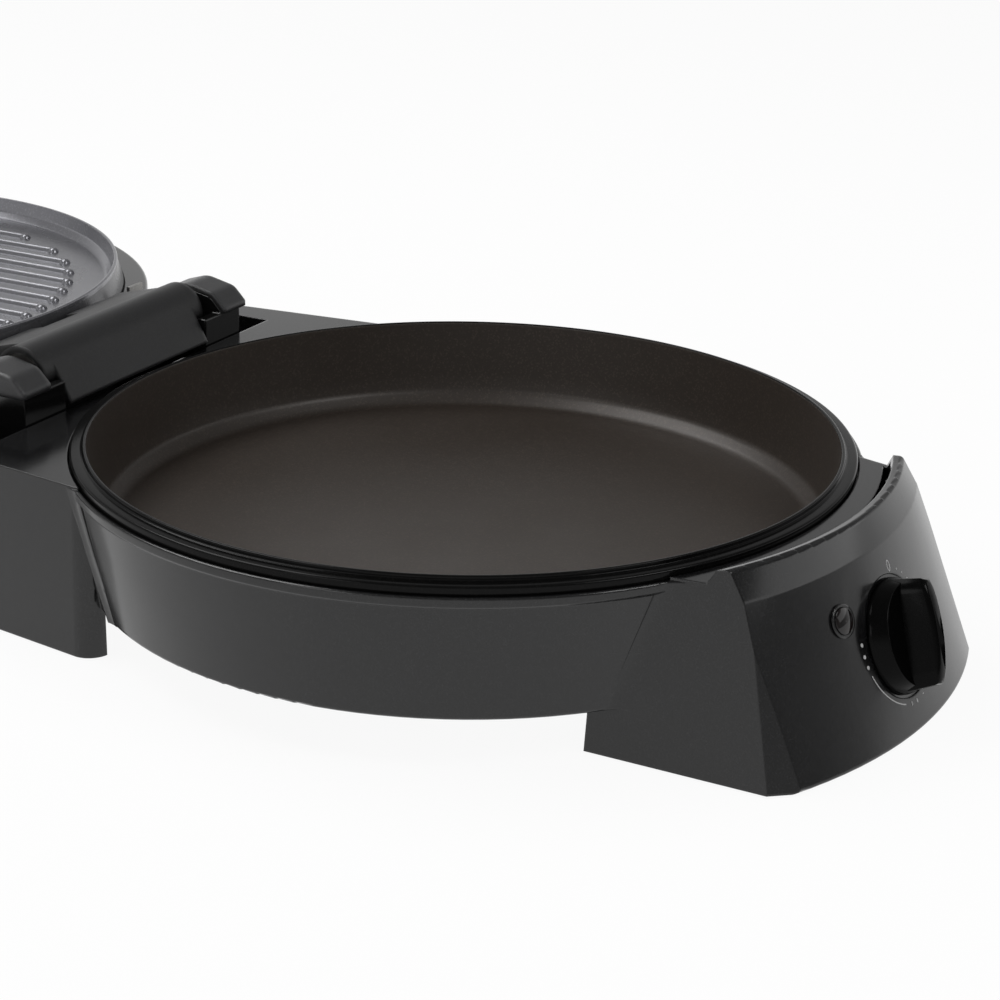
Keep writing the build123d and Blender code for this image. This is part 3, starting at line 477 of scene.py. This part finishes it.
plateShape = {
    "lip": 147.6,  # inner radius at the mouth
    "lipWidth": 1.7,
    "wallHeight": 9.3,
    "floorWidth": 3.0,
    "turns": 320,
    "crease": 50,  # degrees
    "pitch": 13.3,  # between ridges
    "ridges": 9,  # on each side of the middle one
    "reach": 126.5,  # radius of the circle that the beads stand on
    "ridgeHalf": 1.6,
    "ridgeHeight": 1.9,
    "ridgeFullness": 2.4,  # higher is squarer
    "ridgeSteps": 8,  # across half of a bead
    "beadRadius": 2.5,
    "beadHeight": 2.1,
    "sunk": 0.3,  # how deep the feet of the ridges go into the floor
    # from the middle of the floor over the lip and the outer slope, and back underneath
    "section": [
        ("axis", 0, "floor", 0, 0),
        ("lip", -4.2, "floor", 0, 3.0),
        ("lip", -1.3, "floor", 3.0, 2.5),
        ("lip", 0, "top", -0.6, 0.4),
        ("lip", 0.1, "top", 0, 0.4),
        ("outer", 0, "top", 0, 0.7),
        ("outer", 0, "top", -2.2, 1.5),
        ("edge", 0, "low", 3.4, 0.9),
        ("edge", 0, "low", 0, 0.3),
        ("lip", 0.8, "low", 0, 0.3),
        ("lip", -2.6, "under", 0, 1.5),
        ("axis", 0, "under", 0, 0),
    ],
}


def addRidge(bm, x, half, floor):
    # a rounded ridge along Y with a round bead at each end
    radius, steps = plateShape["beadRadius"], plateShape["ridgeSteps"]
    offsets = [radius * (step / steps - 1) for step in range(2 * steps + 1)]
    rows = []
    for y in [end + offset for end in (-half, half) for offset in offsets]:
        row = []
        for side in offsets:
            flank = 1 - (abs(side) / plateShape["ridgeHalf"]) ** plateShape["ridgeFullness"]
            ridge = plateShape["ridgeHeight"] * max(0.0, flank) if abs(y) <= half else 0.0
            away = math.hypot(side, abs(y) - half) / radius
            bead = plateShape["beadHeight"] * math.sqrt(max(0.0, 1 - away * away))
            rise = max(ridge, bead) or -plateShape["sunk"]
            row.append(bm.verts.new(((x + side) * mm, plateAxisY + y * mm, (floor + rise) * mm)))
        rows.append(row)
    for lower, upper in zip(rows, rows[1:]):
        for step in range(2 * steps):
            bm.faces.new((lower[step], lower[step + 1], upper[step + 1], upper[step]))


def makeGrillPlate():
    top = plateHigh.z / mm
    floor = top - plateShape["wallHeight"]
    radii = {
        "axis": 0,
        "lip": plateShape["lip"],
        "outer": plateShape["lip"] + plateShape["lipWidth"],
        "edge": (plateHigh.x - plateLow.x) / 2 / mm,
    }
    heights = {
        "floor": floor,
        "under": floor - plateShape["floorWidth"],
        "low": plateLow.z / mm,
        "top": top,
    }
    bm = bmesh.new()
    spin(bm, sectionLine(plateShape["section"], radii, heights), plateAxisY, plateShape["turns"])
    for index in range(-plateShape["ridges"], plateShape["ridges"] + 1):
        x = index * plateShape["pitch"]
        addRidge(bm, x, math.sqrt(plateShape["reach"] ** 2 - x * x), floor)
    # painted shade: faces outside the lip get the darker copy of the plate's finish
    markOutside(bm, plateAxisY, radii["outer"] * mm)
    return addPiece("grillPlate", bm, "lid", ["plate", "plateRimShade"], ["grill_plate"],
                    plateShape["crease"])


makeGrillPlate()
print("grill plate made")


# Knob

knobShape = {
    "seat": -0.6,
    "skirtRadius": 22.0,
    "skirtTop": 6.6,
    "faceRadius": 19.4,
    "turns": 160,
    # from the middle of the face over the skirt, and back underneath
    "section": [
        ("axis", 0, "top", -0.5, 0),
        ("face", -1.2, "top", -0.5, 0.5),
        ("face", -0.9, "top", 0, 0.3),
        ("face", 0, "top", 0, 0.35),
        ("skirt", -0.4, "seat", 1.6, 1.5),
        ("skirt", 0, "seat", 0, 0.4),
        ("skirt", -2.0, "seat", 0, 0),
        ("skirt", -2.0, "seat", 2.0, 0),
        ("axis", 0, "seat", 2.0, 0),
    ],
    "gripFoot": 13.0,  # widths of the grip
    "gripCrest": 6.4,
    "gripReach": 20.6,
    "gripLean": 1.2,  # how much shorter each end is at the crest
    "gripBase": 3.0,
    "gripTop": 17.6,
    "gripBow": 2.8,  # how much lower the crest's ends are
    "gripTurn": 16.5,  # degrees clockwise, toward the zero mark
    "gripSteps": 14,  # along its length
    "gripLevels": (0.0, 0.45, 0.86, 0.92, 0.96, 0.985, 1.0),  # shares of its height
    "crestFrom": 0.86,  # share of the height where the crest starts to round
    "crestDraw": 2.4,  # how far the rounding draws the ends in
    "crestSide": 0.6,  # share of it for the sides
    "endFrom": 0.9,  # share of the length where the ends start to narrow
    "endNarrow": 0.35,
}


def gripRing(share):
    # one outline of the grip, from its foot at 0 to its crest at 1
    shape = knobShape
    soften = max(0.0, share - shape["crestFrom"]) / (1 - shape["crestFrom"])
    draw = shape["crestDraw"] * (1 - math.sqrt(max(0.0, 1 - soften * soften)))
    width = shape["gripFoot"] + (shape["gripCrest"] - shape["gripFoot"]) * share
    half = width / 2 - draw * shape["crestSide"]
    reach = shape["gripReach"] - shape["gripLean"] * share - draw
    right = []
    for step in range(shape["gripSteps"] + 1):
        y = reach * (1 - 2 * step / shape["gripSteps"])
        beyond = max(0.0, abs(y) / reach - shape["endFrom"]) / (1 - shape["endFrom"])
        right.append((half * (1 - beyond ** 2 * shape["endNarrow"]), y))
    turn = Matrix.Rotation(-math.radians(shape["gripTurn"]), 3, "Z")
    ring = []
    for x, y in right + [(-x, y) for x, y in reversed(right)]:
        crest = shape["gripTop"] - shape["gripBow"] * (y / shape["gripReach"]) ** 2
        z = shape["gripBase"] + (crest - shape["gripBase"]) * share
        ring.append(turn @ (Vector((x, y, z)) * mm))
    return ring


def knobFrame():
    # x to the right and y up the sloping panel, z out of it
    side = Vector((-knobOut.y, knobOut.x, 0)).normalized()
    up = knobOut.cross(side)
    matrix = Matrix((side, up, knobOut)).transposed().to_4x4()
    matrix.translation = knobCentre
    return matrix


def makeKnob():
    radii = {"axis": 0, "face": knobShape["faceRadius"], "skirt": knobShape["skirtRadius"]}
    heights = {"seat": knobShape["seat"], "top": knobShape["skirtTop"]}
    bm = bmesh.new()
    spin(bm, sectionLine(knobShape["section"], radii, heights), 0.0, knobShape["turns"])
    stack(bm, [gripRing(share) for share in knobShape["gripLevels"]])
    bm.transform(knobFrame())
    return addPiece("controlKnob", bm, "dial", ["knobBlack"], ["control_knob"])


makeKnob()
print("knob made")


# Marks printed round the knob

marks = {
    "radius": 25.4,
    "stroke": 0.5,
    "lift": 0.06,
    # degrees clockwise from the top, half width, half height
    "dots": [
        (261.0, 0.8, 0.8),
        (270.5, 0.8, 0.8),
        (280.5, 0.8, 0.8),
        (31.0, 0.4, 0.4),
        (41.0, 0.4, 0.4),
        (51.5, 0.4, 0.4),
        (167.0, 0.4, 0.4),
        (180.0, 0.48, 0.88),
        (189.5, 0.48, 0.88),
    ],
    "dotSteps": 12,
    "arcs": [(140.0, 158.0), (199.5, 253.0)],  # first and last degrees
    "arcStep": 3,
    "zero": (16.5, 1.0, 2.0),
    "zeroOut": 0.6,  # beyond the radius of the other marks
    "zeroSteps": 24,
}


def onPanel(u, v):
    # a place on the sloping panel, u to the right and v up the slope from the knob's middle
    flat = knobFrame() @ Vector((u * mm, v * mm, 0))
    reach = math.hypot(knobCentre.x, knobCentre.y - panAxisY)
    reach += (knobCentre.z - flat.z) * (-knobOut.z / knobOut.y) + marks["lift"] * mm
    turn = math.atan2(flat.x, panAxisY - flat.y)
    return Vector((reach * math.sin(turn), panAxisY - reach * math.cos(turn), flat.z))


def onDial(degrees, radius):
    angle = math.radians(degrees)
    return radius * math.sin(angle), radius * math.cos(angle)


def oval(degrees, radius, wide, high, steps):
    u, v = onDial(degrees, radius)
    angles = [2 * math.pi * step / steps for step in range(steps)]
    return [(u + wide * math.cos(angle), v + high * math.sin(angle)) for angle in angles]


def strip(bm, line):
    # a flat printed line along points of the panel
    edges = []
    for index, point in enumerate(line):
        before = Vector(line[max(index - 1, 0)])
        after = Vector(line[min(index + 1, len(line) - 1)])
        along = (after - before).normalized()
        side = Vector((-along.y, along.x)) * marks["stroke"] / 2
        pair = (Vector(point) + side, Vector(point) - side)
        edges.append([bm.verts.new(onPanel(*corner)) for corner in pair])
    for first, second in zip(edges, edges[1:]):
        bm.faces.new((first[0], first[1], second[1], second[0]))


def printMarks():
    bm = bmesh.new()
    radius = marks["radius"]
    for degrees, wide, high in marks["dots"]:
        rim = oval(degrees, radius, wide, high, marks["dotSteps"])
        bm.faces.new([bm.verts.new(onPanel(*point)) for point in rim])
    for first, last in marks["arcs"]:
        steps = int(last - first) // marks["arcStep"]
        angles = [first + (last - first) * step / steps for step in range(steps + 1)]
        strip(bm, [onDial(angle, radius) for angle in angles])
    degrees, wide, high = marks["zero"]
    ring = oval(degrees, radius + marks["zeroOut"], wide, high, marks["zeroSteps"])
    strip(bm, ring + ring[:1])
    return addPiece("dialMarks", bm, "base", ["print"])


printMarks()
print("dial marks printed")


# Camera, lamps, world and floor

view = {
    "place": (-0.82882, -0.63424, 0.40625),
    "turn": (69.1206, -0.9499, -61.6896),  # degrees
    "lens": 90.0,
    "sensor": 36.0,
}


def placeCamera():
    camera = bpy.data.cameras.new("camera")
    camera.lens = view["lens"]
    camera.sensor_width = view["sensor"]
    holder = bpy.data.objects.new("camera", camera)
    holder.location = view["place"]
    holder.rotation_euler = Euler([math.radians(angle) for angle in view["turn"]])
    bpy.context.scene.collection.objects.link(holder)
    bpy.context.scene.camera = holder


studio = {
    "floorSize": 40.0,
    "floorColour": (0.9, 0.9, 0.9),
    "floorRoughness": 0.9,
    "floorSpecular": 0.0,
    "floorGlow": 0.93,  # share of plain white where the floor is seen or mirrored
    "worldColour": (1.0, 1.0, 1.0),
    # sky goes by a direction's height and front by its depth: first both ends, then the
    # strength there
    "sky": (0.05, 0.55, 1.0, 0.25),
    "front": (-1.1, -0.4, 0.2, 1.0),
    "lamps": [
        # name, place, aims at, size, watts
        ("overhead", (-0.1, 0.65, 1.25), (0, 0, 0.05), (1.3, 0.7), 14),
        ("front", (-0.05, -1.2, 1.1), (0, -0.3, 0.05), (0.6, 0.35), 5),
        ("left", (-1.5, 0.1, 0.9), (0, -0.1, 0.05), (0.5, 0.5), 2),
        ("frontLow", (0.62, -1.35, 0.5), (-0.05, -0.37, 0.06), (1.15, 0.33), 1.2),
    ],
}


def placeLamps():
    for name, place, aim, size, watts in studio["lamps"]:
        lamp = bpy.data.lights.new(name, "AREA")
        lamp.shape = "RECTANGLE"
        lamp.size, lamp.size_y = size
        lamp.energy = watts
        holder = bpy.data.objects.new(name, lamp)
        holder.location = place
        holder.rotation_euler = (Vector(aim) - Vector(place)).to_track_quat("-Z", "Y").to_euler()
        bpy.context.scene.collection.objects.link(holder)


def buildWorld():
    # white at the horizon, greyer above, and darker in front, where the sloping panel faces
    world = bpy.data.worlds.new("studio")
    bpy.context.scene.world = world
    world.use_nodes = True
    tree = world.node_tree
    back = tree.nodes["Background"]
    back.inputs["Color"].default_value = (*studio["worldColour"], 1)
    place = addNode(tree, "ShaderNodeTexCoord")
    split = addNode(tree, "ShaderNodeSeparateXYZ")
    both = addNode(tree, "ShaderNodeMath", operation="MULTIPLY")
    tree.links.new(place.outputs["Generated"], split.inputs["Vector"])
    for index, (axis, key) in enumerate((("Z", "sky"), ("Y", "front"))):
        span = dict(zip(("From Min", "From Max", "To Min", "To Max"), studio[key]))
        shade = addNode(tree, "ShaderNodeMapRange", span, clamp=True)
        shade.interpolation_type = "SMOOTHSTEP"
        tree.links.new(split.outputs[axis], shade.inputs["Value"])
        tree.links.new(shade.outputs["Result"], both.inputs[index])
    tree.links.new(both.outputs[0], back.inputs["Strength"])


def seenRays(tree):
    # 1 for camera, glossy and transmission rays
    path = addNode(tree, "ShaderNodeLightPath")
    seen = path.outputs["Is Camera Ray"]
    for kind in ("Is Glossy Ray", "Is Transmission Ray"):
        either = addNode(tree, "ShaderNodeMath", operation="MAXIMUM")
        tree.links.new(seen, either.inputs[0])
        tree.links.new(path.outputs[kind], either.inputs[1])
        seen = either.outputs[0]
    return seen


def layFloor():
    half = studio["floorSize"] / 2
    corners = [(-half, -half, 0), (half, -half, 0), (half, half, 0), (-half, half, 0)]
    mesh = bpy.data.meshes.new("floor")
    mesh.from_pydata(corners, [], [(0, 1, 2, 3)])
    floor = bpy.data.objects.new("floor", mesh)
    bpy.context.scene.collection.objects.link(floor)
    material = bpy.data.materials.new("floor")
    material.use_nodes = True
    tree = material.node_tree
    shader = tree.nodes["Principled BSDF"]
    shader.inputs["Base Color"].default_value = (*studio["floorColour"], 1)
    shader.inputs["Roughness"].default_value = studio["floorRoughness"]
    shader.inputs["Specular IOR Level"].default_value = studio["floorSpecular"]
    glow = addNode(tree, "ShaderNodeEmission")
    mix = addNode(tree, "ShaderNodeMixShader")
    share = addNode(tree, "ShaderNodeMath", {1: studio["floorGlow"]}, operation="MULTIPLY")
    tree.links.new(seenRays(tree), share.inputs[0])
    tree.links.new(share.outputs[0], mix.inputs[0])
    tree.links.new(shader.outputs[0], mix.inputs[1])
    tree.links.new(glow.outputs[0], mix.inputs[2])
    tree.links.new(mix.outputs[0], tree.nodes["Material Output"].inputs["Surface"])
    mesh.materials.append(material)


placeCamera()
placeLamps()
buildWorld()
layFloor()
bpy.context.scene.view_settings.view_transform = "Standard"
print("camera, lamps, world and floor placed")
